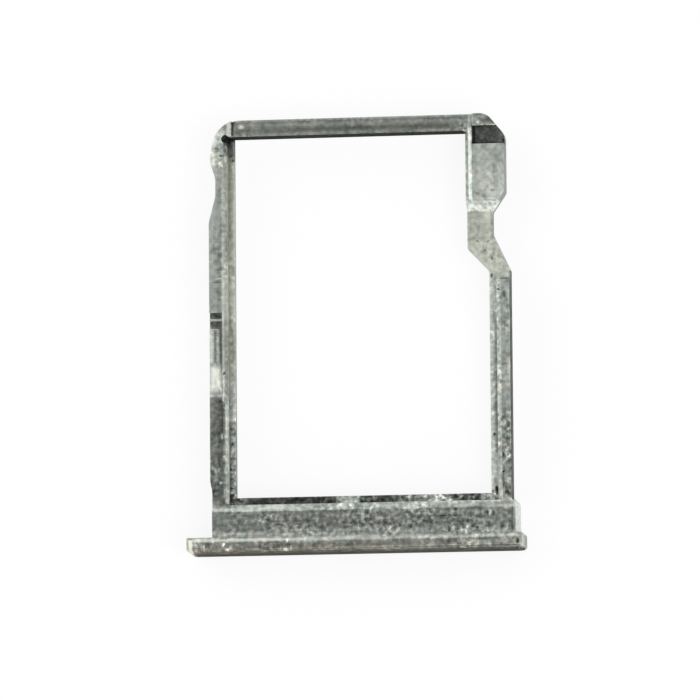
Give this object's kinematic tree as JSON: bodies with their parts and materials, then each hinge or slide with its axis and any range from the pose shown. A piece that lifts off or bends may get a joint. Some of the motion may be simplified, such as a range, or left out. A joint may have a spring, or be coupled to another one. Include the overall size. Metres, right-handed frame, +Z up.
{
  "type": "micro sd card tray",
  "caption": "Flat metal tray for a micro SD card: an open card-shaped frame with a stepped ledge, a thick block and a slim front bezel that closes the slot.",
  "frame": {"origin": "under the middle of the tray's outline, at the height of the bezel's lower edge", "axes": "+Y from the bezel to the far bar, the way the tray goes into its slot; +Z up, out of the card pocket; +X to the right seen from the bezel"},
  "size_m": [0.0138, 0.018, 0.0023],
  "materials": {
    "blasted_metal": "blasted, worn"
  },
  "bodies": {
    "root": {"card_tray": "blasted_metal"}
  },
  "joints": []
}
